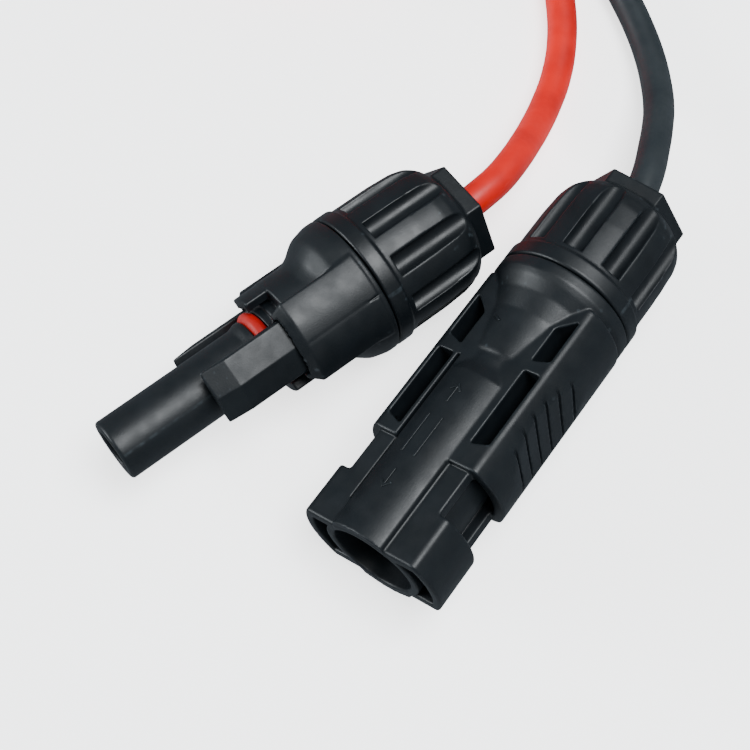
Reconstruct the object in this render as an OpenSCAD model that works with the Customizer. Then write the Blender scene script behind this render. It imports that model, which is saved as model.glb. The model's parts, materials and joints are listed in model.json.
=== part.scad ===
// A pair of plug-in solar cable connectors with their leads.
// Each half is drawn along its own axis: z runs from the mating end to the cable,
// +y is the latch side of the socket half and the top face of the pin half.
// The pair is then laid flat, with the socket half's nose tip at the origin.

/* [Connector bodies] */
// Radius of the round shoulder that meets the gland nut
body_r = 9.75; // [9.4:0.05:10]
// Radius of the socket half's nose
nose_r = 4.2; // [4:0.05:4.3]
// Nose tip to gland nut, socket half
socket_len = 37.6; // [37:0.2:40]
// Mouth to gland nut, pin half
pin_len = 42; // [42:0.2:44]
// Radius of the pin half's mouth
mouth_r = 5.7; // [5.6:0.05:5.8]
// Radius over the pin half's ears
ear_r = 10.1; // [9.9:0.05:10.2]
// Length of each ear
ear_len = 7.3; // [6.5:0.1:8]
// Half width of a latch arm
arm_half_w = 3.7; // [3.6:0.05:4]

/* [Gland nut] */
// Length of the fluted nut without its hexagon
nut_len = 15.5; // [15:0.1:17]
// Length of the hexagon
hex_len = 2.2; // [2:0.1:5]
// Hexagon across flats
hex_af = 12.8; // [12:0.2:13]
// Number of flutes
flutes = 10; // [8:1:12]

/* [Contacts] */
// Radius of the contact pin
pin_r = 2; // [1.9:0.05:2]

/* [Leads] */
// Outer diameter of each lead
cable_d = 4.4; // [4.2:0.1:4.6]
// Diameter over the inner insulation
core_d = 3.2; // [3:0.1:3.4]
// Diameter of the stranded conductor
strand_d = 1.6; // [1.5:0.1:1.8]
// Turns in each layer of a coil
coil_turns = 2; // [1.5:0.5:2.5]

/* [Lay] */
// Turn of the socket half about its axis
socket_roll = 39; // [30:1:45]
// Turn of the socket half's nut
socket_nut_roll = 29.5; // [0:0.5:60]
// Turn of the pin half about its axis
pin_roll = -22; // [-25:1:-10]
// Turn of the pin half's nut
pin_nut_roll = 24; // [0:0.5:60]

/* [Hidden] */

$fn = 96;
e = 0.1;                       // a cutter's overrun
gap = 0.3;                     // running gap between pieces that move
table_z = -body_r;

// Where the pin half lies: the centre of its mouth, and the turn of its axis
pin_at = [30.7, 16.6, 0];
pin_turn = 16.1;

// Socket half, distances from the nose tip
flare_r = 4.55;
groove_z = [22.05, 24.15];
groove_r = 3.05;
neck_r = 5.2;
core_r = 7.2;
core_z = 26.6;
shell_z = 25.8;                // outer front edge of a side shell
shell_lip = 1.375;             // the front chamfer of a side shell
shell_root_r = 4.4;            // inside the neck
shell_half_angle = 37;
shoulder_z = 31.3;
key_z = 23.3;
key_half_angle = 21;
key_r = 7.1;
arm_front = 13.2;
arm_ramp = 3.3;
arm_back = 29;
arm_r = 8;                     // ridge along the middle of an arm
arm_edge_y = 6.96;             // outer edge of an arm
arm_inner_y = 5.9;
slot_r = arm_r + 0.35;
slot_half_w = arm_half_w + 0.35;

// Pin half, distances from its mouth
deck_y = 5.6;                  // flat faces of the ears
rail_y = 6.2;                  // top edge of a side shell
side_r = 9.9;
notch_x = 7;                   // floor of a side notch
shell_front = 13.6;
scoop_z = [28.5, 39.6];         // the hollow behind the label
pad_half_w = 3.9;
pad_r = 7.3;
pad_len = 25;
pad_groove_w = 0.45;           // beside one edge of each pad
pad_groove_z = [4, 27];
window_x = [4.9, 7.2];
window_stagger = 1.6;          // the windows on one side lie nearer the mouth
window_floor = 1.2;            // how near the middle plane the windows reach
barrel_wall_r = 6.5;
mouth_depth = 12;
ring_bore_r = 5;               // where the O-ring seals
ring_bore_end = 20;
nose_bore_end = 27;
pin_tip_z = 9.5;
ear_slot_r = 8.9;
grip_hollow_r = 31;
grip_floor_r = 9.05;
grip_z = 24.4;
grip_pitch = 2.35;
grip_slant = 12;

// Gland, distances from the nut's front face
nut_gap = 0.2;
spigot_r = 6.8;
spigot_len = 8;
chamber_r = 5.3;
seal_len = 6.2;
seal_start = 0.6;
basket_front = 6.9;
basket_flange = 1.4;
basket_r = chamber_r - gap;
finger_len = 5;
nut_collar_len = 2.3;
nut_rib_r = 9.4;
flute_start = 3;
flute_r = 1.45;
flute_at_r = 9.5;
nut_mouth_r = 3.6;
nut_cone_len = 4.8;
hex_flare_len = 2.4;
hex_flare_r = 5;

// Contacts
socket_contact_r = 2.45;
sleeve_r = 2.75;
barrel_r = 2.4;
stem_r = 2.2;                  // where the retaining clip sits
clip_r = 3.2;
clip_len = 3;
contact_slots = 4;

// Leads
cable_r = cable_d / 2;
lead_end = 14.6;               // where the straight lead in the gland meets its free run
crimp_depth = 6.5;             // how far the conductor enters the contact's barrel
layer = cable_d;
coil_r = 5 * cable_d;          // radius of the middle of the turns
coil_out = coil_r + cable_d * coil_turns / 2;
coil_in = coil_r - cable_d * coil_turns / 2;
tie_t = 0.6;
tie_w = 7;
tie_slack = 0.6;               // room for the tie beside the turns
coil_at = [-69.8, 79.3];       // the black coil lies on the red one
red_base = table_z;            // underside of the tie round each coil
black_base = table_z + tie_t + 2 * layer + gap;
red_coil_z = red_base + tie_t + cable_r;
black_coil_z = black_base + tie_t + cable_r;
lie_z = table_z + cable_r;

red_route = [
    [0, 52.2, 0], [0, 56, 0], [-0.2, 59.5, 0], [-0.7, 62.6, -0.4], [-2, 66.5, -1.4],
    [-3.9, 70.5, -3.2], [-6.1, 74.6, -5.3], [-8.6, 78.9, -6.8], [-11.4, 83.2, -7.4],
    [-15.3, 87.7, lie_z], [-20.8, 92.3, lie_z], [-27.4, 96.4, lie_z], [-34.5, 99.8, lie_z],
    [-42, 102.6, lie_z], [-50, 104.7, lie_z], [-58, 105.8, -7.4], [-66, 106, -7.1],
    [-76.6, 104.8, red_coil_z]
];
black_route = [
    [15, 71, 0], [13.9, 74.2, 0], [12.5, 76.8, 0], [10.8, 79.6, -0.4], [8.3, 83, -1.5],
    [5.5, 86.6, -3.1], [2.4, 90.1, -4.9], [-1.4, 93.4, -6.4], [-6, 96.4, -7.2],
    [-11, 98.8, lie_z], [-17, 100.9, lie_z], [-24.5, 102.9, -7.2], [-32, 104.4, -5.8],
    [-39.5, 105.4, -3.6], [-47, 105.9, -1.1], [-54.5, 106.1, 1.1], [-62, 106, 2.4],
    [-68.9, 105.7, black_coil_z]
];
red_tail = [
    [-91.9, 64.9, red_coil_z + layer], [-87.3, 58.2, -4], [-82.2, 52, -6.4], [-76.6, 46.3, lie_z]
];
black_tail = [
    [-95.2, 72, black_coil_z + layer], [-93.2, 63.5, 5.8], [-91.9, 55, 1.8], [-91.2, 46.6, -3],
    [-90.8, 38.4, -6.5], [-90.6, 30.5, lie_z]
];
bare_len = 8;

// ---------- placing ----------

// Lays a half that is drawn along +z so that its axis runs along +Y and its top faces +Z
module lie(roll) {
    rotate([-90, 0, 0]) rotate([0, 0, 180 + roll]) children();
}

module at_socket(roll = socket_roll) {
    lie(roll) children();
}

module at_pin(roll = pin_roll) {
    translate(pin_at) rotate([0, 0, pin_turn]) lie(roll) children();
}

// ---------- shared shapes ----------

// A ring sector of radii a to b, half angle h about +y, from z0 to z1
module sector(a, b, h, z0, z1) {
    rotate([0, 0, 90 - h]) rotate_extrude(angle = 2 * h) translate([a, z0]) square([b - a, z1 - z0]);
}

module tube(r, bore, z0, z1) {
    translate([0, 0, z0]) difference() {
        cylinder(r = r, h = z1 - z0);
        translate([0, 0, -e]) cylinder(r = bore, h = z1 - z0 + 2 * e);
    }
}

function unit(v) = v / norm(v);
function heading(p, i) = unit(p[min(i + 1, len(p) - 1)] - p[max(i - 1, 0)]);
function ring(c, t, r, n) = let (s = unit(cross(t, [0, 0, 1])), u = cross(s, t))
    [for (k = [0 : n - 1]) c + r * (cos(360 * k / n) * s + sin(360 * k / n) * u)];

// A round tube along a route of points
module swept_tube(route, r, n = 12) {
    m = len(route);
    pts = [for (i = [0 : m - 1]) each ring(route[i], heading(route, i), r, n)];
    sides = [for (i = [0 : m - 2]) for (k = [0 : n - 1])
        [i * n + k, i * n + (k + 1) % n, (i + 1) * n + (k + 1) % n, (i + 1) * n + k]];
    start = [[for (k = [n - 1 : -1 : 0]) k]];
    end = [[for (k = [0 : n - 1]) (m - 1) * n + k]];
    polyhedron(pts, concat(sides, start, end), convexity = 6);
}

// ---------- socket half ----------

module side_shell() {
    rotate([0, 0, 90 - shell_half_angle]) rotate_extrude(angle = 2 * shell_half_angle)
        polygon([
            [shell_root_r, shell_z - shell_lip], [arm_r, shell_z - shell_lip],
            [body_r - 0.02, shell_z], [body_r - 0.02, socket_len - 1], [shell_root_r, socket_len - 1]
        ]);
}

module arm_slot() {
    intersection() {
        cylinder(r = slot_r, h = socket_len);
        translate([-slot_half_w, arm_inner_y - 0.5, key_z])
            cube([2 * slot_half_w, slot_r, arm_back + 0.4 - key_z]);
    }
}

module socket_housing() {
    color("#23282c") at_socket() difference() {
        union() {
            rotate_extrude() polygon([
                [0, 0], [nose_r - 0.3, 0], [nose_r, 0.3], [nose_r, 20.6], [flare_r, 21.5],
                [flare_r, groove_z[0]], [groove_r, groove_z[0]], [groove_r, groove_z[1]],
                [4.7, groove_z[1]], [4.7, 25], [neck_r, 25.3], [neck_r, core_z],
                [core_r, core_z], [core_r, shoulder_z], [9.2, 34], [body_r, 36.2],
                [body_r, socket_len - 0.3], [body_r - 0.3, socket_len], [spigot_r, socket_len],
                [spigot_r, socket_len + spigot_len], [0, socket_len + spigot_len]
            ]);
            for (a = [0, 180]) rotate([0, 0, a]) side_shell();
            for (a = [90, 270]) rotate([0, 0, a])
                sector(5.8, key_r, key_half_angle, key_z, core_z + 0.5);
        }
        for (a = [0, 180]) rotate([0, 0, a]) arm_slot();
        // bore for the socket contact, its spring sleeve, its clip and its crimp barrel
        translate([0, 0, -e]) cylinder(r = sleeve_r + 0.05, h = 9 + e);
        cylinder(r = socket_contact_r + 0.05, h = socket_len);
        translate([0, 0, 30]) cylinder(r = clip_r + e, h = socket_len);
        translate([0, 0, socket_len]) cylinder(r = chamber_r, h = spigot_len + e);
    }
}

// An arm with a sloping nose, hidden root and a ridge along its middle
module latch_arm() {
    function outline(drop) = [
        [-arm_half_w, arm_inner_y], [arm_half_w, arm_inner_y], [arm_half_w, arm_edge_y - drop],
        [0, arm_r - drop], [-arm_half_w, arm_edge_y - drop]
    ];
    slice = 0.05;
    color("#262c30") {
        translate([0, 0, arm_front + arm_ramp])
            linear_extrude(arm_back - arm_front - arm_ramp) polygon(outline(0));
        hull() {
            translate([0, 0, arm_front]) linear_extrude(slice) polygon(outline(0.9));
            translate([0, 0, arm_front + arm_ramp]) linear_extrude(slice) polygon(outline(0));
        }
    }
}

module latch_arm_upper() {
    at_socket() latch_arm();
}

module latch_arm_lower() {
    at_socket(socket_roll + 180) latch_arm();
}

module o_ring() {
    section_r = 1;
    color("#d8281e") at_socket()
        translate([0, 0, (groove_z[0] + groove_z[1]) / 2])
            rotate_extrude() translate([groove_r + section_r, 0]) circle(r = section_r, $fn = 48);
}

module socket_contact() {
    color("#b9bcc0") at_socket() difference() {
        rotate_extrude() polygon([
            [pin_r + 0.02, 1.6], [socket_contact_r, 1.6], [socket_contact_r, 27],
            [stem_r, 27.4], [stem_r, 33.8], [barrel_r, 34], [barrel_r, socket_len - 0.4],
            [0, socket_len - 0.4], [0, 20], [pin_r + 0.02, 19]
        ]);
        translate([0, 0, socket_len - crimp_depth]) cylinder(d = strand_d, h = 2 * crimp_depth);
        for (a = [0 : contact_slots - 1]) rotate([0, 0, a * 360 / contact_slots])
            translate([0, -0.2, 1]) cube([5, 0.4, 13]);
    }
}

module socket_spring_sleeve() {
    color("#8d9398") at_socket() tube(sleeve_r, socket_contact_r, 2.2, 8.4);
}

module retaining_clip() {
    color("#7d8488") difference() {
        tube(clip_r, stem_r, 0, clip_len);
        for (a = [0 : 2]) rotate([0, 0, a * 120]) translate([0, -0.4, 1]) cube([5, 0.8, clip_len]);
    }
}

module socket_retaining_clip() {
    at_socket() translate([0, 0, 30.4]) retaining_clip();
}

// ---------- gland ----------

module cable_seal() {
    groove = 0.5;
    color("#3a3d40") rotate_extrude() polygon([
        [cable_r, seal_start], [chamber_r - 0.05, seal_start], [chamber_r - 0.05, 2],
        [chamber_r - groove, 2.4], [chamber_r - groove, 2.9], [chamber_r - 0.05, 3.3],
        [chamber_r - 0.05, 4.3], [chamber_r - groove, 4.7], [chamber_r - groove, 5.2],
        [chamber_r - 0.05, 5.6], [chamber_r - 0.05, seal_len], [cable_r, seal_len]
    ]);
}

module seal_basket() {
    fingers = 6;
    flange_r = 6.4;
    flange_z = spigot_len + 0.15;
    end_z = flange_z + basket_flange + finger_len;
    color("#4b5054") difference() {
        rotate_extrude() polygon([
            [cable_r + gap, basket_front], [basket_r, basket_front], [basket_r, flange_z],
            [flange_r, flange_z], [flange_r, flange_z + basket_flange],
            [5.4, flange_z + basket_flange], [3.2, end_z], [cable_r + gap, end_z]
        ]);
        for (a = [0 : fingers - 1]) rotate([0, 0, a * 360 / fingers])
            translate([0, -0.3, flange_z + basket_flange]) cube([9, 0.6, 9]);
    }
}

module gland_nut() {
    total = nut_len + hex_len;
    cone_z = spigot_len + basket_flange + 0.8;
    color("#20262a") difference() {
        union() {
            rotate_extrude() polygon([
                [0, 0], [body_r - 0.3, 0], [body_r, 0.3], [body_r, nut_collar_len],
                [nut_rib_r, nut_collar_len + 0.3], [nut_rib_r, 8.5], [9.2, 12], [8.8, 13.6],
                [8, nut_len - 0.7], [6.9, nut_len], [0, nut_len]
            ]);
            rotate([0, 0, 90]) cylinder(d = hex_af / cos(30), h = total, $fn = 6);
        }
        // flutes
        for (a = [0 : flutes - 1]) rotate([0, 0, a * 360 / flutes])
            translate([0, flute_at_r, flute_start]) cylinder(r = flute_r, h = nut_len);
        // room for the spigot, the basket's flange and its fingers, then the flared exit
        translate([0, 0, -e]) cylinder(r = spigot_r + gap, h = cone_z + e);
        translate([0, 0, cone_z - 0.01]) cylinder(r1 = 6, r2 = nut_mouth_r, h = nut_cone_len);
        cylinder(r = nut_mouth_r, h = total + e);
        translate([0, 0, total - hex_flare_len])
            cylinder(r1 = nut_mouth_r, r2 = hex_flare_r, h = hex_flare_len + e);
    }
}

module gland_at(z) {
    translate([0, 0, z]) children();
}

module socket_cable_seal() {
    at_socket() gland_at(socket_len) cable_seal();
}

module socket_seal_basket() {
    at_socket() gland_at(socket_len) seal_basket();
}

module socket_gland_nut() {
    at_socket(socket_nut_roll) gland_at(socket_len + nut_gap) gland_nut();
}

// ---------- the lead's straight end inside the gland ----------

module jacket_end() {
    tube(cable_r, core_d / 2, 0.2, lead_end);
}

module core_end() {
    tube(core_d / 2, strand_d / 2, -0.2, lead_end);
}

module conductor_end() {
    translate([0, 0, -crimp_depth]) cylinder(d = strand_d, h = crimp_depth + lead_end);
}

module red_cable_jacket() {
    color("#d9261c") at_socket() gland_at(socket_len) jacket_end();
}

module red_cable_core() {
    color("#e8e4dc") at_socket() gland_at(socket_len) core_end();
}

module red_cable_conductor() {
    color("#c9a27a") at_socket() gland_at(socket_len) conductor_end();
}

// ---------- the free leads ----------

// The outer shape of two layers of turns
module coil(base) {
    translate([coil_at[0], coil_at[1], base + tie_t]) rotate_extrude() hull() {
        for (x = [coil_in, coil_out]) for (z = [cable_r, cable_r + layer])
            translate([x, z]) circle(r = cable_r, $fn = 32);
    }
}

// A strap round the turns at one place
module tie(angle, base) {
    x0 = coil_in - cable_r - tie_slack;
    x1 = coil_out + cable_r + tie_slack;
    h = 2 * layer;
    translate(coil_at) rotate([0, 0, angle]) translate([0, -tie_w / 2, base]) difference() {
        translate([x0 - tie_t, 0, 0]) cube([x1 - x0 + 2 * tie_t, tie_w, h + 2 * tie_t]);
        translate([x0, -e, tie_t]) cube([x1 - x0, tie_w + 2 * e, h]);
    }
}

module bare_end(route) {
    last = len(route) - 1;
    t = heading(route, last);
    start = route[last];
    color("#c9a27a") translate([start[0], start[1], start[2]])
        rotate([0, 0, atan2(t[1], t[0])]) rotate([0, 90, 0]) cylinder(d = strand_d, h = bare_len);
}

module red_cable_run() {
    color("#d9261c") swept_tube(red_route, cable_r);
}

module red_cable_coil() {
    color("#d9261c") coil(red_base);
}

module red_coil_tie() {
    color("#2b2b2b") tie(140, red_base);
}

module red_cable_tail() {
    color("#d9261c") swept_tube(red_tail, cable_r);
}

module red_bare_end() {
    bare_end(red_tail);
}

// ---------- pin half ----------

module ear_slots() {
    for (a = [90, 270]) rotate([0, 0, a]) intersection() {
        difference() {
            translate([0, 0, -e]) cylinder(r = ear_slot_r, h = shell_front + 3);
            translate([0, 0, -1]) cylinder(r = barrel_wall_r + 0.3, h = 30);
        }
        translate([-slot_half_w, 0, -1]) cube([2 * slot_half_w, 12, 30]);
    }
}

// A window beside the barrel, from z0 to z1 along its inner edge, longer by rake along its outer edge
module window(z0, z1, rake) {
    for (sx = [0, 1]) for (sy = [0, 1]) mirror([sx, 0, 0]) mirror([0, sy, 0])
        translate([0, window_floor, (sx - 1) * window_stagger]) rotate([90, 0, 0]) mirror([0, 0, 1])
            linear_extrude(12) polygon([
                [window_x[0], z0], [window_x[1], z0 + 0.8], [window_x[1], z1 + rake],
                [window_x[0], z1]
            ]);
}

// A hollowed thumb grip on each side shell, with slanting grooves
module grips() {
    for (a = [90, 270]) rotate([0, 0, a]) translate([0, grip_floor_r, grip_z]) {
        translate([0, grip_hollow_r, 0]) rotate([0, 90, 0])
            cylinder(r = grip_hollow_r, h = 16, center = true, $fn = 180);
        for (i = [-2.5 : 2.5]) translate([0, grip_hollow_r, 0])
            rotate([asin(grip_pitch * i / grip_hollow_r), 0, 0]) translate([0, -grip_hollow_r, 0])
                rotate([0, -grip_slant, 0]) cube([9, 0.8, 0.4], center = true);
    }
}

module pin_housing() {
    color("#23282c") at_pin() difference() {
        union() {
            // ears and notch blocks
            intersection() {
                rotate_extrude() polygon([[0, 0], [ear_r, 0], [ear_r - 0.1, ear_len],
                    [ear_r - 0.1, shell_front], [0, shell_front]]);
                translate([-12, -deck_y, 0]) cube([24, 2 * deck_y, shell_front]);
            }
            // side shells with their rails
            intersection() {
                translate([0, 0, shell_front]) cylinder(r = side_r, h = scoop_z[1] - shell_front);
                translate([-12, -rail_y, 0]) cube([24, 2 * rail_y, pin_len]);
            }
            // barrel, raised pads, scooped shoulder, round shoulder and spigot
            rotate_extrude() polygon([
                [0, 0], [barrel_wall_r, 0], [barrel_wall_r, scoop_z[0]], [6.75, scoop_z[0] + 0.6],
                [7, 31.5], [7.5, 35.3], [8.4, 38], [body_r - 0.35, scoop_z[1]], [body_r, 40.4],
                [body_r, pin_len - 0.3], [body_r - 0.3, pin_len], [spigot_r, pin_len],
                [spigot_r, pin_len + spigot_len], [0, pin_len + spigot_len]
            ]);
            intersection() {
                cylinder(r = pad_r, h = pad_len);
                translate([-pad_half_w, -10, 0]) cube([2 * pad_half_w, 20, pad_len]);
            }
        }
        // side notches
        for (sx = [0, 180]) rotate([0, 0, sx])
            translate([notch_x, -12, ear_len]) cube([8, 24, shell_front - ear_len]);
        for (a = [0, 180]) rotate([0, 0, a]) translate([pad_half_w, deck_y - 0.3, pad_groove_z[0]])
            cube([pad_groove_w, 3, pad_groove_z[1] - pad_groove_z[0]]);
        ear_slots();
        window(16.8, 28.5, 0);
        window(30, 35.4, 2);
        grips();
        // mouth, O-ring bore, nose bore, contact bore and seal chamber
        translate([0, 0, -e]) cylinder(r = mouth_r, h = mouth_depth + e);
        cylinder(r = ring_bore_r, h = ring_bore_end);
        cylinder(r = nose_r + 0.15, h = nose_bore_end);
        cylinder(r = stem_r + 0.05, h = pin_len);
        translate([0, 0, 34]) cylinder(r = clip_r + e, h = pin_len);
        translate([0, 0, pin_len]) cylinder(r = chamber_r, h = spigot_len + e);
    }
}

module contact_pin() {
    color("#c4c7ca") at_pin() difference() {
        rotate_extrude() polygon([
            [0, pin_tip_z], [0.9, pin_tip_z], [1.6, 10.1], [pin_r, 11.2], [pin_r, nose_bore_end],
            [stem_r, 27.2], [stem_r, 37.8], [barrel_r, 38], [barrel_r, pin_len - 0.4],
            [0, pin_len - 0.4]
        ]);
        translate([0, 0, pin_len - crimp_depth]) cylinder(d = strand_d, h = 2 * crimp_depth);
    }
}

module pin_retaining_clip() {
    at_pin() translate([0, 0, 34.4]) retaining_clip();
}

module pin_cable_seal() {
    at_pin() gland_at(pin_len) cable_seal();
}

module pin_seal_basket() {
    at_pin() gland_at(pin_len) seal_basket();
}

module pin_gland_nut() {
    at_pin(pin_nut_roll) gland_at(pin_len + nut_gap) gland_nut();
}

module black_cable_jacket() {
    color("#303437") at_pin() gland_at(pin_len) jacket_end();
}

module black_cable_core() {
    color("#e8e4dc") at_pin() gland_at(pin_len) core_end();
}

module black_cable_conductor() {
    color("#c9a27a") at_pin() gland_at(pin_len) conductor_end();
}

module black_cable_run() {
    color("#303437") swept_tube(black_route, cable_r);
}

module black_cable_coil() {
    color("#303437") coil(black_base);
}

module black_coil_tie() {
    color("#2b2b2b") tie(20, black_base);
}

module black_cable_tail() {
    color("#303437") swept_tube(black_tail, cable_r);
}

module black_bare_end() {
    bare_end(black_tail);
}

socket_housing();
latch_arm_upper();
latch_arm_lower();
o_ring();
socket_contact();
socket_spring_sleeve();
socket_retaining_clip();
socket_cable_seal();
socket_seal_basket();
socket_gland_nut();
red_cable_jacket();
red_cable_core();
red_cable_conductor();
red_cable_run();
red_cable_coil();
red_coil_tie();
red_cable_tail();
red_bare_end();
pin_housing();
contact_pin();
pin_retaining_clip();
pin_cable_seal();
pin_seal_basket();
pin_gland_nut();
black_cable_jacket();
black_cable_core();
black_cable_conductor();
black_cable_run();
black_cable_coil();
black_coil_tie();
black_cable_tail();
black_bare_end();
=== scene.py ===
"""A pair of solar cable connectors with their leads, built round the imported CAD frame.

Each moulded piece is a distance field in its own half's millimetres: z runs from the mating end to
the cable, and +y is the side of a latch arm or of a pad. mesh_of() turns a field into a mesh, and
lay() puts it where the CAD node is.
"""
import json
import math

import bpy
import numpy as np
from mathutils import Matrix, Vector


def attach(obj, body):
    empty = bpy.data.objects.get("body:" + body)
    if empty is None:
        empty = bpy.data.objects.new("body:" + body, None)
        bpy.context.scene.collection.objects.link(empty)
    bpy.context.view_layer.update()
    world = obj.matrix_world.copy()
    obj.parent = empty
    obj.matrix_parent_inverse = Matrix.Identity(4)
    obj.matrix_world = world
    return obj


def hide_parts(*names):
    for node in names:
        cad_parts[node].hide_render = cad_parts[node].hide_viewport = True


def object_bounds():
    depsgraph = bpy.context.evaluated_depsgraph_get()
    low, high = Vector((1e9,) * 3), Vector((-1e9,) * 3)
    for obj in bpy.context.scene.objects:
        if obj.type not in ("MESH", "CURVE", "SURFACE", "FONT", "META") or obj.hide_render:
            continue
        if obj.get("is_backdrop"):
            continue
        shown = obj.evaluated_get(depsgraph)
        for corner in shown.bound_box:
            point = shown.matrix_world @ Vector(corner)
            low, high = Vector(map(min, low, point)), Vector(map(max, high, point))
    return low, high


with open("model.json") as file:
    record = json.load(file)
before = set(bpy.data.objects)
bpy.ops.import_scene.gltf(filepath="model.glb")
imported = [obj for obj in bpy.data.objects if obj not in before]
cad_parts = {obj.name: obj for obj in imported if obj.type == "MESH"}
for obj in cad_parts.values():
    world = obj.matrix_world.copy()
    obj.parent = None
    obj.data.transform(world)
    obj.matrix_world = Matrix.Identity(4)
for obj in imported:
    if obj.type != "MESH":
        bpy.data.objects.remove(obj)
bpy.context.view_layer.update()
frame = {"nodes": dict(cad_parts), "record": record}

MM = 0.001
TABLE_Z = -9.75

# ---------- camera ----------

CAMERA_TARGET = (8.53, 34.5, TABLE_Z)
CAMERA_AZIMUTH = 51.43
CAMERA_ELEVATION = 66.74
CAMERA_DISTANCE = 200.5
CAMERA_ROLL = 0.57
CAMERA_LENS = 72


def make_camera():
    """The view down on the pair from beyond the pin half's mouth."""
    turn, lift = math.radians(CAMERA_AZIMUTH), math.radians(CAMERA_ELEVATION)
    back = Vector((math.sin(turn) * math.cos(lift), -math.cos(turn) * math.cos(lift), math.sin(lift)))
    camera = bpy.data.objects.new("camera", bpy.data.cameras.new("camera"))
    camera.data.lens = CAMERA_LENS
    camera.data.sensor_width = 36
    camera.data.clip_start = 0.01
    facing = (-back).to_track_quat("-Z", "Y").to_matrix().to_4x4()
    roll = Matrix.Rotation(math.radians(CAMERA_ROLL), 4, "Z")
    place = Matrix.Translation((Vector(CAMERA_TARGET) + back * CAMERA_DISTANCE) * MM)
    camera.matrix_world = place @ facing @ roll
    bpy.context.collection.objects.link(camera)
    bpy.context.scene.camera = camera


# ---------- materials ----------


def new_material(name):
    """A node material, with its nodes, its links and its main shader."""
    m = bpy.data.materials.new(name)
    m.use_nodes = True
    return m, m.node_tree.nodes, m.node_tree.links, m.node_tree.nodes["Principled BSDF"]


def noise(nodes, links, scale, detail=4.0, stretch=None):
    """A noise texture on object coordinates, whose scale is in cycles per metre."""
    place = nodes.new("ShaderNodeTexCoord")
    texture = nodes.new("ShaderNodeTexNoise")
    texture.inputs["Scale"].default_value = scale
    texture.inputs["Detail"].default_value = detail
    if stretch:
        mapping = nodes.new("ShaderNodeMapping")
        mapping.inputs["Scale"].default_value = stretch
        links.new(place.outputs["Object"], mapping.inputs["Vector"])
        links.new(mapping.outputs["Vector"], texture.inputs["Vector"])
    else:
        links.new(place.outputs["Object"], texture.inputs["Vector"])
    return texture.outputs["Fac"]


def ramp(nodes, links, value, stops):
    """A colour ramp of (position, colour) stops."""
    node = nodes.new("ShaderNodeValToRGB")
    while len(node.color_ramp.elements) < len(stops):
        node.color_ramp.elements.new(0.5)
    for element, (at, colour) in zip(node.color_ramp.elements, stops):
        element.position = at
        element.color = (*colour, 1)
    links.new(value, node.inputs["Fac"])
    return node.outputs["Color"]


def grey(v):
    """A grey colour of brightness v."""
    return (v, v, v)


def bumped(nodes, links, shader, height, depth_mm):
    """Drive the shader's normal by a height texture."""
    bump = nodes.new("ShaderNodeBump")
    bump.inputs["Distance"].default_value = depth_mm * MM
    bump.inputs["Strength"].default_value = 1.0
    links.new(height, bump.inputs["Height"])
    links.new(bump.outputs["Normal"], shader.inputs["Normal"])


def moulded(name, colour, wear, rough=(0.38, 0.52), grain_mm=0.012, grain_scale=5200):
    """Injection-moulded plastic: cloudy colour, scuffed edges, uneven gloss and a fine grain."""
    m, nodes, links, shader = new_material(name)
    cloud = noise(nodes, links, 260, 5)
    base = ramp(nodes, links, cloud, [(0.3, [c * 0.82 for c in colour]), (0.7, [c * 1.15 for c in colour])])
    geometry = nodes.new("ShaderNodeNewGeometry")
    edges = ramp(nodes, links, geometry.outputs["Pointiness"], [(0.53, grey(0)), (0.6, grey(1))])
    scuffs = ramp(nodes, links, noise(nodes, links, 900, 6), [(0.42, grey(0.15)), (0.66, grey(1))])
    worn = nodes.new("ShaderNodeMix")
    worn.data_type = "RGBA"
    worn.blend_type = "MULTIPLY"
    worn.inputs["Factor"].default_value = 1.0
    links.new(edges, worn.inputs["A"])
    links.new(scuffs, worn.inputs["B"])
    mixed = nodes.new("ShaderNodeMix")
    mixed.data_type = "RGBA"
    links.new(worn.outputs["Result"], mixed.inputs["Factor"])
    links.new(base, mixed.inputs["A"])
    mixed.inputs["B"].default_value = (*wear, 1)
    links.new(mixed.outputs["Result"], shader.inputs["Base Color"])
    gloss = ramp(nodes, links, noise(nodes, links, 420, 6), [(0.3, grey(rough[0])), (0.72, grey(rough[1]))])
    links.new(gloss, shader.inputs["Roughness"])
    bumped(nodes, links, shader, noise(nodes, links, grain_scale, 3), grain_mm)
    shader.inputs["Specular IOR Level"].default_value = 0.38
    return m


def jacket(name, colour, dark, rough):
    """Extruded cable jacket: long faint streaks and a soft skin."""
    m, nodes, links, shader = new_material(name)
    base = ramp(nodes, links, noise(nodes, links, 180, 5), [(0.3, dark), (0.62, colour)])
    links.new(base, shader.inputs["Base Color"])
    gloss = ramp(nodes, links, noise(nodes, links, 700, 5), [(0.3, grey(rough)), (0.7, grey(rough + 0.14))])
    links.new(gloss, shader.inputs["Roughness"])
    bumped(nodes, links, shader, noise(nodes, links, 1500, 4), 0.01)
    shader.inputs["Specular IOR Level"].default_value = 0.35
    return m


def metal(name, colour, rough, stretch=(1, 1, 1)):
    """Plated or drawn metal with fine turning marks."""
    m, nodes, links, shader = new_material(name)
    marks = noise(nodes, links, 3000, 5, stretch)
    base = ramp(nodes, links, marks, [(0.3, [c * 0.75 for c in colour]), (0.7, colour)])
    links.new(base, shader.inputs["Base Color"])
    shader.inputs["Metallic"].default_value = 1.0
    gloss = ramp(nodes, links, marks, [(0.3, grey(rough)), (0.7, grey(rough + 0.15))])
    links.new(gloss, shader.inputs["Roughness"])
    bumped(nodes, links, shader, marks, 0.004)
    return m


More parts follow.
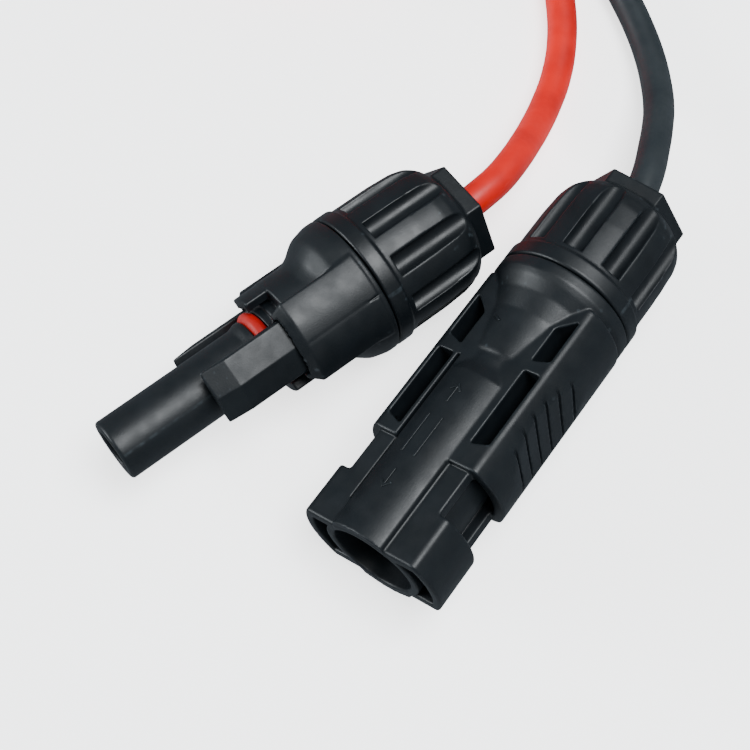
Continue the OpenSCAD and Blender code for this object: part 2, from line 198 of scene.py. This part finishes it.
BLACK = (0.0036, 0.0055, 0.0072)
WEAR = (0.02, 0.027, 0.032)
MATERIALS = {
    "housing_plastic": moulded("housing_plastic", BLACK, WEAR),
    "latch_plastic": moulded("latch_plastic", BLACK, WEAR),
    "nut_plastic": moulded("nut_plastic", [c * 0.9 for c in BLACK], WEAR, (0.34, 0.48)),
    "basket_plastic": moulded("basket_plastic", (0.12, 0.13, 0.14), (0.2, 0.21, 0.22)),
    "o_ring_rubber": jacket("o_ring_rubber", (0.36, 0.004, 0.002), (0.26, 0.003, 0.0015), 0.4),
    "seal_rubber": jacket("seal_rubber", (0.03, 0.032, 0.034), (0.02, 0.02, 0.022), 0.5),
    "contact_metal": metal("contact_metal", (0.72, 0.72, 0.74), 0.22),
    "spring_metal": metal("spring_metal", (0.5, 0.51, 0.53), 0.3),
    "red_jacket": jacket("red_jacket", (0.62, 0.006, 0.0025), (0.46, 0.0045, 0.002), 0.38),
    "black_jacket": jacket("black_jacket", (0.017, 0.022, 0.025), (0.011, 0.015, 0.018), 0.42),
    "core_insulation": jacket("core_insulation", (0.8, 0.77, 0.7), (0.72, 0.69, 0.62), 0.5),
    "copper_strand": metal("copper_strand", (0.78, 0.42, 0.25), 0.28, (1, 1, 0.2)),
    "tie_plastic": moulded("tie_plastic", (0.014, 0.014, 0.015), (0.05, 0.05, 0.05)),
}


def dress(piece, slot):
    """Give a piece the one material of its slot."""
    piece.data.materials.clear()
    piece.data.materials.append(MATERIALS[slot])


# ---------- cords ----------

CABLE_R = 2.2
CABLE_D = 2 * CABLE_R
TIE_T = 0.6
GAP = 0.3
LIE_Z = TABLE_Z + CABLE_R

COIL_TURNS = 2.0    # in each of a coil's two layers
CLIMB_TURNS = 0.3   # share of a turn that climbs from one layer to the next
COIL_R = 5 * CABLE_D
COIL_OUT = COIL_R + CABLE_D * COIL_TURNS / 2
COIL_IN = COIL_R - CABLE_D * COIL_TURNS / 2
COIL_AT = (-69.8, 79.3)
COIL_STEPS = 30     # points in each turn
RED_START = 105     # degrees round its coil at which each lead joins it
BLACK_START = 88
# heights of the lower layer's middle
RED_Z = TABLE_Z + TIE_T + CABLE_R
BLACK_Z = RED_Z + TIE_T + 2 * CABLE_D + GAP

RED_ROUTE = [
    (0, 52.2, 0), (0, 56, 0), (-0.2, 59.5, 0), (-0.7, 62.6, -0.4), (-2, 66.5, -1.4),
    (-3.9, 70.5, -3.2), (-6.1, 74.6, -5.3), (-8.6, 78.9, -6.8), (-11.4, 83.2, -7.4),
    (-15.3, 87.7, LIE_Z), (-20.8, 92.3, LIE_Z), (-27.4, 96.4, LIE_Z), (-34.5, 99.8, LIE_Z),
    (-42, 102.6, LIE_Z), (-50, 104.7, LIE_Z), (-58, 105.8, -7.4), (-66, 106, -7.1),
    (-76.6, 104.8, RED_Z),
]
BLACK_ROUTE = [
    (15, 71, 0), (13.9, 74.2, 0), (12.5, 76.8, 0), (10.8, 79.6, -0.4), (8.3, 83, -1.5),
    (5.5, 86.6, -3.1), (2.4, 90.1, -4.9), (-1.4, 93.4, -6.4), (-6, 96.4, -7.2),
    (-11, 98.8, LIE_Z), (-17, 100.9, LIE_Z), (-24.5, 102.9, -7.2), (-32, 104.4, -5.8),
    (-39.5, 105.4, -3.6), (-47, 105.9, -1.1), (-54.5, 106.1, 1.1), (-62, 106, 2.4),
    (-68.9, 105.7, BLACK_Z),
]
RED_TAIL = [(-91.9, 64.9, RED_Z + CABLE_D), (-87.3, 58.2, -4), (-82.2, 52, -6.4), (-76.6, 46.3, LIE_Z)]
BLACK_TAIL = [
    (-95.2, 72, BLACK_Z + CABLE_D), (-93.2, 63.5, 5.8), (-91.9, 55, 1.8), (-91.2, 46.6, -3),
    (-90.8, 38.4, -6.5), (-90.6, 30.5, LIE_Z),
]


def coil_points(start, low):
    """Two layers of turns from the angle start: inwards at height low, up, and outwards again on top."""
    turns = 2 * COIL_TURNS + CLIMB_TURNS
    points = []
    for i in range(1, round(turns * COIL_STEPS)):
        t = i / COIL_STEPS
        if t < COIL_TURNS:
            r, z = COIL_OUT - CABLE_D * t, low
        elif t < COIL_TURNS + CLIMB_TURNS:
            share = (t - COIL_TURNS) / CLIMB_TURNS
            r, z = COIL_IN, low + CABLE_D * share * share * (3 - 2 * share)
        else:
            r, z = COIL_IN + CABLE_D * (t - COIL_TURNS - CLIMB_TURNS), low + CABLE_D
        a = math.radians(start) + 2 * math.pi * t
        points.append((COIL_AT[0] + r * math.cos(a), COIL_AT[1] + r * math.sin(a), z))
    return points


def tube_curve(name, points, radius, slot, body):
    """One open, smooth spline through the points, with a round section."""
    data = bpy.data.curves.new(name, "CURVE")
    data.dimensions = "3D"
    data.bevel_depth = radius * MM
    data.bevel_resolution = 7
    data.resolution_u = 6
    data.use_fill_caps = True
    spline = data.splines.new("BEZIER")
    spline.bezier_points.add(len(points) - 1)
    for knot, p in zip(spline.bezier_points, points):
        knot.co = [c * MM for c in p]
        knot.handle_left_type = knot.handle_right_type = "AUTO"
    piece = bpy.data.objects.new(name, data)
    bpy.context.collection.objects.link(piece)
    dress(piece, slot)
    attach(piece, body)
    return piece


def make_lead(colour, route, tail, start, low, body):
    """A free lead from its gland to its bare end, with its coil."""
    points = route + coil_points(start, low) + tail
    lead = tube_curve(colour + "_lead", points, CABLE_R, colour + "_jacket", body)
    nodes = [colour + part for part in ("_cable_run", "_cable_coil", "_cable_tail")]
    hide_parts(*nodes)
    return lead, points


def strap(name, node, body):
    """The tie round a coil: the CAD band with its edges softened."""
    band = bpy.data.objects.new(name, frame["nodes"][node].data.copy())
    bpy.context.collection.objects.link(band)
    soften = band.modifiers.new("soften", "BEVEL")
    soften.width = 0.25 * MM
    soften.segments = 3
    dress(band, "tie_plastic")
    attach(band, body)
    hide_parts(node)
    return band


def strands(name, node, tail, body):
    """Bare wire at the end of a tail: six strands twisted round a seventh, cut a little unevenly."""
    strand_r, lay_r, ragged = 0.27, 0.53, 0.03
    count, knots, twist = 7, 12, 1.1
    along = (Vector(tail[-1]) - Vector(tail[-2])) * Vector((1, 1, 0))
    along.normalize()
    side = Vector((-along.y, along.x, 0))
    up = Vector((0, 0, 1))
    start = Vector(tail[-1]) * MM
    reach = max((v.co - start).dot(along) for v in frame["nodes"][node].data.vertices)
    data = bpy.data.curves.new(name, "CURVE")
    data.dimensions = "3D"
    data.bevel_depth = strand_r * MM
    data.bevel_resolution = 3
    data.use_fill_caps = True
    for s in range(count):
        spline = data.splines.new("BEZIER")
        spline.bezier_points.add(knots - 1)
        for k, knot in enumerate(spline.bezier_points):
            share = k / (knots - 1)
            a = 2 * math.pi * (s / (count - 1) + twist * share)
            out = 0.0 if s == count - 1 else lay_r * MM
            spot = start + along * reach * (share * (1 - ragged * (s % 3)))
            knot.co = spot + side * (out * math.cos(a)) + up * (out * math.sin(a))
            knot.handle_left_type = knot.handle_right_type = "AUTO"
    piece = bpy.data.objects.new(name, data)
    bpy.context.collection.objects.link(piece)
    dress(piece, "copper_strand")
    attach(piece, body)
    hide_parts(node)
    return piece


make_camera()
for shade, route, tail, start, low, body in (
    ("red", RED_ROUTE, RED_TAIL, RED_START, RED_Z, "socket_half"),
    ("black", BLACK_ROUTE, BLACK_TAIL, BLACK_START, BLACK_Z, "pin_half"),
):
    lead, points = make_lead(shade, route, tail, start, low, body)
    tie = strap(shade + "_tie", shade + "_coil_tie", body)
    wire = strands(shade + "_strands", shade + "_bare_end", tail, body)

# ---------- distance fields ----------


def rmax(a, b, r):
    """Intersection whose edge is rounded to radius r."""
    if r == 0:
        return np.maximum(a, b)
    return np.minimum(np.maximum(a, b), -r) + np.hypot(np.maximum(a + r, 0), np.maximum(b + r, 0))


def rmin(a, b, r):
    """Union whose corner is filled to radius r."""
    return -rmax(-a, -b, r)


def cut(a, b, r):
    """a without b, with a rounded edge."""
    return rmax(a, -b, r)


def slab(v, low, high):
    """Between two planes across v."""
    return np.maximum(low - v, v - high)


def disc(rho, z, r, low, high, edge):
    """A round bar of radius r from low to high, with rounded rims."""
    return rmax(rho - r, slab(z, low, high), edge)


def turned(rho, z, outline, soft=0.5):
    """A turned surface through (z, radius) points, with its corners softened."""
    step, margin = 0.05, 3
    zs = np.arange(outline[0][0] - margin, outline[-1][0] + margin, step)
    rs = np.interp(zs, [p[0] for p in outline], [p[1] for p in outline])
    half = int(soft / step)
    if half:
        kernel = np.hanning(2 * half + 3)[1:-1]
        rs = np.convolve(np.pad(rs, half, "edge"), kernel / kernel.sum(), "valid")
    slope = np.gradient(rs, step)
    r = np.interp(z, zs, rs)
    lean = np.interp(z, zs, 1 / np.sqrt(1 + slope * slope))
    return (rho - r) * lean


def mesh_of(field, low, high, step):
    """Vertices and quads of a field's surface: surface nets, then two steps onto the surface."""
    axes = [np.arange(a - 2 * step, b + 3 * step, step, dtype=np.float32) for a, b in zip(low, high)]
    v = field(*np.meshgrid(*axes, indexing="ij")).astype(np.float32)
    inside = v < 0
    count = np.zeros([n - 1 for n in v.shape], np.int8)
    corners = [(i, j, k) for i in (0, 1) for j in (0, 1) for k in (0, 1)]
    nx, ny, nz = count.shape
    for i, j, k in corners:
        count += inside[i:i + nx, j:j + ny, k:k + nz]
    cells = np.argwhere((count > 0) & (count < 8))
    index = np.full(count.shape, -1, np.int64)
    index[tuple(cells.T)] = np.arange(len(cells))
    total, weight = np.zeros((len(cells), 3)), np.zeros(len(cells))
    for axis in range(3):
        for j in (0, 1):
            for k in (0, 1):
                a = np.zeros(3, int)
                a[(axis + 1) % 3], a[(axis + 2) % 3] = j, k
                b = a.copy()
                b[axis] = 1
                va, vb = v[tuple((cells + a).T)], v[tuple((cells + b).T)]
                crossing = (va < 0) != (vb < 0)
                t = np.where(crossing, va / np.where(crossing, va - vb, 1), 0)
                spot = a + t[:, None] * (b - a)
                total += spot * crossing[:, None]
                weight += crossing
    start = np.array([a[0] for a in axes], float)
    points = start + step * (cells + total / weight[:, None])
    quads = []
    for axis in range(3):
        one, two = (axis + 1) % 3, (axis + 2) % 3
        low_side = [slice(0, n) for n in v.shape]
        high_side = list(low_side)
        low_side[axis], high_side[axis] = slice(0, -1), slice(1, None)
        change = inside[tuple(low_side)] != inside[tuple(high_side)]
        at = np.argwhere(change)
        keep = (at[:, one] > 0) & (at[:, two] > 0)
        keep &= (at[:, one] < v.shape[one] - 1) & (at[:, two] < v.shape[two] - 1)
        at = at[keep]
        ring = []
        for back_one, back_two in ((1, 1), (0, 1), (0, 0), (1, 0)):
            cell = at.copy()
            cell[:, one] -= back_one
            cell[:, two] -= back_two
            ring.append(index[tuple(cell.T)])
        quad = np.stack(ring, 1)
        flip = ~inside[tuple(at.T)]
        quad[flip] = quad[flip][:, ::-1]
        quads.append(quad)
    quads = np.concatenate(quads)
    nudge, flattest, longest = 0.02, 0.05, 0.4 * step
    for _ in range(2):
        here = field(*points.T)
        slope = np.stack([field(*(points + nudge * np.eye(3)[a]).T) - here for a in range(3)], 1) / nudge
        steepness = np.maximum((slope ** 2).sum(1), flattest)
        move = np.clip(here / steepness, -longest, longest)
        points = points - move[:, None] * slope
    return points, quads


def lay(points, roll, at, turn):
    """A half's own millimetres to the shared frame in metres, as the CAD lays a half."""
    heading = Matrix.Translation(at) @ Matrix.Rotation(math.radians(turn), 4, "Z")
    lying = Matrix.Rotation(math.radians(-90), 4, "X")
    m = np.array(heading @ lying @ Matrix.Rotation(math.radians(180 + roll), 4, "Z"))
    return (points @ m[:3, :3].T + m[:3, 3]) * MM


SOCKET = {"roll": 39, "at": (0, 0, 0), "turn": 0}
PIN = {"roll": -22, "at": (30.7, 16.6, 0), "turn": 16.1}


def field_piece(name, field, low, high, step, half, slot, body, nodes, roll=None):
    """A smooth piece from a field, riding on a body in place of CAD nodes."""
    coarser = 1
    points, quads = mesh_of(field, low, high, step * coarser)
    place = dict(half)
    if roll is not None:
        place["roll"] = roll
    world = lay(points, **place)
    mesh = bpy.data.meshes.new(name)
    mesh.vertices.add(len(world))
    mesh.vertices.foreach_set("co", world.astype(np.float32).ravel())
    mesh.loops.add(quads.size)
    mesh.loops.foreach_set("vertex_index", quads.astype(np.int32).ravel())
    mesh.polygons.add(len(quads))
    mesh.polygons.foreach_set("loop_start", np.arange(0, quads.size, 4, dtype=np.int32))
    mesh.update(calc_edges=True)
    mesh.validate()
    mesh.polygons.foreach_set("use_smooth", np.ones(len(mesh.polygons), bool))
    piece = bpy.data.objects.new(name, mesh)
    bpy.context.collection.objects.link(piece)
    dress(piece, slot)
    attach(piece, body)
    if nodes:
        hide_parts(*nodes)
    return piece


# ---------- sizes of both halves ----------

BODY_R = 9.75        # widest round of a housing, and of a nut's collar
SPIGOT_R = 6.8       # spigot that the nut goes on
CHAMBER_R = 5.3      # seal chamber
CABLE_BORE_R = 3.3   # room round the jacket
NUT_GAP = 0.2        # between a housing and its nut

# ---------- socket half ----------

SOCKET_LEN = 37.6
NOSE_R = 4.2
NECK_R = 3.05        # floor of the o-ring's groove
ARM_HALF_W = 3.7
ARM_ROOM = 0.35      # beside an arm, in its slot
KEY_R = 7.1


def socket_housing(x, y, z):
    """Nose, o-ring groove, neck, shoulder, side shells, keys and spigot."""
    rho = np.hypot(x, y)
    ax, ay = np.abs(x), np.abs(y)
    # nose, flared before the o-ring's groove
    solid = disc(rho, z, NOSE_R, 0, 23, 0.45)
    flare = turned(rho, z, [(20.4, 4.2), (21.4, 4.55), (22, 4.55)], 0.3)
    solid = np.minimum(solid, rmax(flare, slab(z, 20.4, 22.05), 0.12))
    solid = cut(solid, rmax(NECK_R - rho, slab(z, 22.05, 24.15), 0), 0.08)
    solid = np.minimum(solid, disc(rho, z, NECK_R, 20, 30, 0))
    # neck, in steps up to the body
    solid = np.minimum(solid, disc(rho, z, 4.7, 24.15, 27, 0.15))
    solid = np.minimum(solid, disc(rho, z, 5.2, 25.2, 28, 0.15))
    solid = rmin(solid, disc(rho, z, 7.2, 26.6, 33, 0.3), 0.2)
    shoulder = turned(rho, z, [(30.6, 6.6), (31.3, 7.2), (34, 9.2), (36.2, BODY_R), (38, BODY_R)], 0.8)
    shoulder = rmax(shoulder, slab(z, 30.6, SOCKET_LEN), 0.3)
    solid = rmin(solid, shoulder, 0.8)
    # side shells over and under the arms
    wide = math.radians(37)
    front = (24.43 + np.maximum(rho - 8, 0) * 0.79 - z) * 0.8
    shell = rmax(rho - BODY_R, front, 0.22)
    shell = rmax(shell, ax * math.cos(wide) - ay * math.sin(wide), 0.4)
    shell = np.maximum(shell, np.maximum(z - 36.6, 4.2 - rho))
    solid = rmin(solid, shell, 0.5)
    # parting line of the mould along each shell
    seam = np.hypot(x * 0.8, ay - BODY_R - 0.02) - 0.09
    solid = cut(solid, np.where(z > 25.5, seam, 1), 0.03)
    # keys
    narrow = math.radians(21)
    key = rmax(rho - KEY_R, ay * math.cos(narrow) - ax * math.sin(narrow), 0.25)
    key = rmax(key, slab(z, 23.3, 27), 0.25)
    solid = np.minimum(solid, np.maximum(key, 5.8 - rho))
    # slots for the arms
    slot = rmax(ax - (ARM_HALF_W + ARM_ROOM), slab(z, 22, 29.4), 0.3)
    slot = np.maximum(slot, np.maximum(5.4 - ay, rho - 8.35))
    solid = cut(solid, slot, 0.14)
    solid = rmin(solid, disc(rho, z, SPIGOT_R, 37, 45.6, 0.3), 0.1)
    # bores
    solid = cut(solid, disc(rho, z, 2.8, -2, 9, 0), 0.3)
    solid = np.maximum(solid, 2.5 - rho)
    solid = cut(solid, disc(rho, z, CABLE_BORE_R, 30, 60, 0), 0.05)
    return cut(solid, disc(rho, z, CHAMBER_R, SOCKET_LEN, 60, 0), 0.2)


def latch_arm(x, y, z):
    """A ridged bar whose roof falls away at the tip."""
    ax = np.abs(x)
    tip, ramp_at, root = 13.2, 16.5, 29
    under, ridge, pitch = 5.9, 8, 0.281
    drop = np.maximum(ramp_at - z, 0) * (0.9 / 3.3)
    roof = (y - (ridge - pitch * ax) + drop) * 0.95
    arm = rmax(ax - ARM_HALF_W, roof, 0.22)
    arm = rmax(arm, under - y, 0.2)
    return rmax(arm, slab(z, tip, root), 0.22)


# ---------- gland nuts ----------

NUT_LEN = 15.5
COLLAR_LEN = 2.3
RIB_R = 9.4
HEX_LEN = 2.2        # how far the hexagon stands out
HEX_AF = 12.8        # across its flats
FLUTES = 10
FLUTE_R = 1.45


def gland_nut(x, y, z):
    """Collar, fluted skirt and hexagon, hollow down to the cable's hole."""
    rho = np.hypot(x, y)
    outline = [(COLLAR_LEN, RIB_R), (8.5, RIB_R), (12, 9.2), (13.6, 8.8), (14.8, 8.0), (NUT_LEN, 6.9)]
    ribs = rmax(turned(rho, z, outline, 0.7), slab(z, 0, NUT_LEN), 0.2)
    pitch = 2 * math.pi / FLUTES
    a = np.arctan2(x, y)
    a = a - pitch * np.round(a / pitch)
    u, w = rho * np.sin(a), rho * np.cos(a)
    flute = rmax(np.hypot(u, w - 9.5) - FLUTE_R, 3.1 - z, 0.06)
    ribs = cut(ribs, flute, 0.08)
    collar = disc(rho, z, BODY_R, 0, COLLAR_LEN, 0.32)
    solid = rmin(ribs, collar, 0.25)
    flats = np.full_like(rho, -9)
    for k in range(3):
        t = math.radians(60 * k)
        flats = rmax(flats, np.abs(x * math.cos(t) + y * math.sin(t)) - HEX_AF / 2, 0.12)
    solid = rmin(solid, rmax(flats, slab(z, 5, NUT_LEN + HEX_LEN), 0.2), 0.2)
    inner = [(-3, 7.1), (10.15, 7.1), (10.2, 6.0), (15, 3.6), (15.3, 3.6), (17.8, 5.05)]
    return cut(solid, turned(rho, z, inner, 0.1), 0.15)


# ---------- pin half ----------

PIN_LEN = 42.0
EAR_LEN = 13.6
BARREL_R = 6.5
PAD_LEN = 27.0
PAD_HALF_W = 3.9
# each thumb grip is hollowed by a round of this radius, whose middle is this far out and along
GRIP_R = 31
GRIP_OUT = 40.05
GRIP_Z = 24.4


def pin_housing(x, y, z):
    """Ears, side shells with thumb grips, barrel, pads, bowl and spigot, with everything cut out."""
    rho = np.hypot(x, y)
    ax, ay = np.abs(x), np.abs(y)
    # ears round the mouth, and side shells behind them
    ears = rmax(rho - 10.05, ay - 5.6, 0.45)
    ears = rmax(ears, slab(z, 0, EAR_LEN), 0.35)
    shells = rmax(rho - 9.9, ay - 6.2, 0.45)
    shells = rmax(shells, slab(z, EAR_LEN, 39.6), 0.25)
    solid = rmin(ears, shells, 0.2)
    # barrel, and the bowl that widens from it to the spigot's end
    barrel = rmax(rho - BARREL_R, slab(z, 0, 36), 0.35)
    bowl = [(28.3, 6.3), (29.1, 6.75), (31.5, 7.0), (35.3, 7.5), (38, 8.4), (39.6, 9.4),
            (40.4, BODY_R), (43, BODY_R)]
    shoulder = rmax(turned(rho, z, bowl, 0.3), slab(z, 28.3, PIN_LEN), 0.3)
    solid = rmin(solid, rmin(barrel, shoulder, 0.08), 0.08)
    # pads on the barrel, each with a groove beside one edge
    pad = rmax(rho - np.clip(BARREL_R + (PAD_LEN - z) * 0.4, 6.3, 7.3), ax - PAD_HALF_W, 0.35)
    solid = rmin(solid, np.maximum(pad, slab(z, 0, 27.4)), 0.2)
    groove = rmax(slab(ax, PAD_HALF_W, 4.35), slab(z, 4, PAD_LEN), 0)
    groove = np.maximum(groove, 5.3 - y * np.sign(x))
    solid = cut(solid, groove, 0.08)
    # notches behind the ears
    notch = rmax(7 - ax, slab(z, 7.3, EAR_LEN), 0.4)
    solid = cut(solid, notch, 0.3)
    # slots for the arms of the other half
    slot = rmax(rho - np.where(z < 10, 8.9, 8.35), 6.8 - rho, 0.15)
    slot = np.maximum(slot, np.maximum(ay - 4.05, z - 16.6))
    solid = cut(solid, slot, 0.15)
    # windows beside the barrel, those on one side nearer the mouth
    shifted = z + np.where(x > 0, 1.6, 0)
    for low, high, rake in ((16.8, 28.5, 0.0), (30, 35.4, 2.0)):
        share = np.clip((ax - 4.9) / 2.3, 0, 1)
        ends = slab(shifted, low + 0.8 * share, high + rake * share)
        window = rmax(slab(ax, 4.9, 7.2), ends, 0.35)
        solid = cut(solid, np.maximum(window, 1.2 - ay), 0.14)
    # thumb grips
    hollow = GRIP_R - np.hypot(ax - GRIP_OUT, z - GRIP_Z)
    solid = rmax(solid, hollow, 0.12)
    solid = grooved(solid, x, y, z)
    # mouth, seal bore, nose bore, contact bore and seal chamber
    for r, low, high, edge in (
        (5.7, -2, 12, 0.3),
        (5, -2, 20, 0.1),
        (4.35, -2, 27, 0),
        (2.25, -2, 60, 0),
        (CABLE_BORE_R, 34, 60, 0),
        (CHAMBER_R, PIN_LEN, 60, 0.2),
    ):
        solid = cut(solid, disc(rho, z, r, low, high, 0), edge)
    return rmin(solid, np.maximum(disc(rho, z, SPIGOT_R, 41, 50, 0.3), CHAMBER_R - rho), 0.1)


def grooved(solid, x, y, z):
    """Six slanting cuts across each thumb grip, of one depth below its hollow."""
    ax = np.abs(x)
    half_wide, deep, past = 0.2, 0.45, 0.2
    hollow = GRIP_OUT - np.sqrt(GRIP_R ** 2 - (z - GRIP_Z) ** 2)
    lean = math.radians(12)
    s = (z - GRIP_Z) * math.cos(lean) + y * np.sign(x) * math.sin(lean)
    pitch = 2.35 * math.cos(lean)
    nearest = np.clip(np.round(s / pitch - 0.5), -3, 2) + 0.5
    groove = np.abs(s - pitch * nearest) - half_wide
    groove = np.maximum(groove, hollow - deep - ax)
    on_grip = ax - hollow - past
    return cut(solid, np.maximum(groove, on_grip), 0.06)


def segment(x, z, a, b):
    """Distance in the x, z plane from the line between two points."""
    run, rise = b[0] - a[0], b[1] - a[1]
    t = np.clip(((x - a[0]) * run + (z - a[1]) * rise) / (run * run + rise * rise), 0, 1)
    return np.hypot(x - a[0] - t * run, z - a[1] - t * rise)


def pad_marks(x, y, z):
    """Raised arrows pointing each way from a pair of plain bars, standing on the pad."""
    lines = []
    middle, barb = 0.6, 0.7
    for tail, tip in ((20.0, 22.6), (9.2, 6.6)):
        back = tip - math.copysign(0.8, tip - tail)
        end = (middle, tip)
        lines += [((middle, tail), end), (end, (middle - barb, back)), (end, (middle + barb, back))]
    lines += [((middle + side, 11.8), (middle + side, 17.6)) for side in (-1, 1)]
    ink = np.minimum.reduce([segment(x, z, a, b) for a, b in lines]) - 0.15
    rho = np.hypot(x, y)
    return np.maximum(rmax(ink, rho - 7.42, 0.06), 7.15 - rho)


def scoop_tick(x, y, z):
    """A raised moulding tick in the bowl behind the pad."""
    ink = segment(x, z, (1.9, 33.0), (3.1, 33.6)) - 0.14
    rho = np.hypot(x, y)
    return np.maximum(rmax(ink, rho - 7.4, 0.06), 6.9 - rho)


def build():
    """The housings, arms and nuts in place of their CAD nodes, and the moulded marks."""
    field_piece("socket_body", socket_housing, (-9.8, -9.8, 0), (9.8, 9.8, 45.6), 0.2, SOCKET,
                "housing_plastic", "socket_half", ["socket_housing"])
    for name, roll in (("upper", 39), ("lower", 219)):
        field_piece("arm_" + name, latch_arm, (-3.7, 5.9, 13.2), (3.7, 8, 29), 0.12, SOCKET,
                    "latch_plastic", "latch_" + name, ["latch_arm_" + name], roll)
    for half, place, z, roll in (
        ("socket", SOCKET, SOCKET_LEN + NUT_GAP, 29.5),
        ("pin", PIN, PIN_LEN + NUT_GAP, 24),
    ):
        field_piece(half + "_nut", lambda x, y, t, z=z: gland_nut(x, y, t - z), (-9.8, -9.8, z),
                    (9.8, 9.8, z + NUT_LEN + HEX_LEN), 0.18, place, "nut_plastic", half + "_nut",
                    [half + "_gland_nut"], roll)
    field_piece("pin_body", pin_housing, (-10.1, -9.8, 0), (10.1, 9.8, 50), 0.2, PIN,
                "housing_plastic", "pin_half", ["pin_housing"])
    for name, field, low, high in (
        ("pad_marks", pad_marks, (-0.6, 6.8, 6), (1.8, 7.5, 23)),
        ("scoop_tick", scoop_tick, (1.6, 6, 32.6), (3.4, 7.5, 34)),
    ):
        field_piece(name, field, low, high, 0.07, PIN, "housing_plastic", "pin_half", [])


build()

# CAD nodes that stay visible
for name, node in frame["nodes"].items():
    if not node.hide_render:
        rows = [r["material_slot"] for r in frame["record"]["subparts"] if r["node"] == name]
        node.data.materials.clear()
        node.data.materials.append(MATERIALS[rows[0]])


# ---------- floor and light ----------


def floor():
    """A pale floor that lights itself a little and stays out of reflections."""
    bpy.ops.mesh.primitive_plane_add(size=4, location=(0, 0, (TABLE_Z - 0.02) * MM))
    plane = bpy.context.object
    plane.name = "floor"
    m, nodes, links, shader = new_material("floor")
    shader.inputs["Base Color"].default_value = (0.93, 0.93, 0.93, 1)
    shader.inputs["Roughness"].default_value = 0.9
    shader.inputs["Emission Color"].default_value = (1, 1, 1, 1)
    shader.inputs["Emission Strength"].default_value = 2.0
    plane.data.materials.append(m)
    plane.visible_glossy = False
    plane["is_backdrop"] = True


def softbox(name, place, aim, size, watts, colour):
    """A rectangular area light at place, facing aim, in metres."""
    light = bpy.data.lights.new(name, "AREA")
    light.shape = "RECTANGLE"
    light.size, light.size_y = size
    light.energy = watts
    light.color = colour
    lamp = bpy.data.objects.new(name, light)
    lamp.location = place
    lamp.rotation_euler = (Vector(aim) - Vector(place)).to_track_quat("-Z", "Y").to_euler()
    bpy.context.collection.objects.link(lamp)


def lighting():
    """A pale sky, a large soft light overhead and a smaller one to the left of the camera."""
    world = bpy.data.worlds.new("studio")
    world.use_nodes = True
    world.node_tree.nodes["Background"].inputs["Color"].default_value = (0.82, 0.91, 1, 1)
    world.node_tree.nodes["Background"].inputs["Strength"].default_value = 0.28
    bpy.context.scene.world = world
    aim = (0.01, 0.04, 0)
    softbox("overhead", (0.18, 0.2, 0.84), aim, (0.5, 0.5), 13, (0.95, 0.98, 1))
    softbox("left", (-0.5, -0.6, 0.3), aim, (0.5, 0.25), 7, (0.92, 0.97, 1))


floor()
lighting()

low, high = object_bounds()
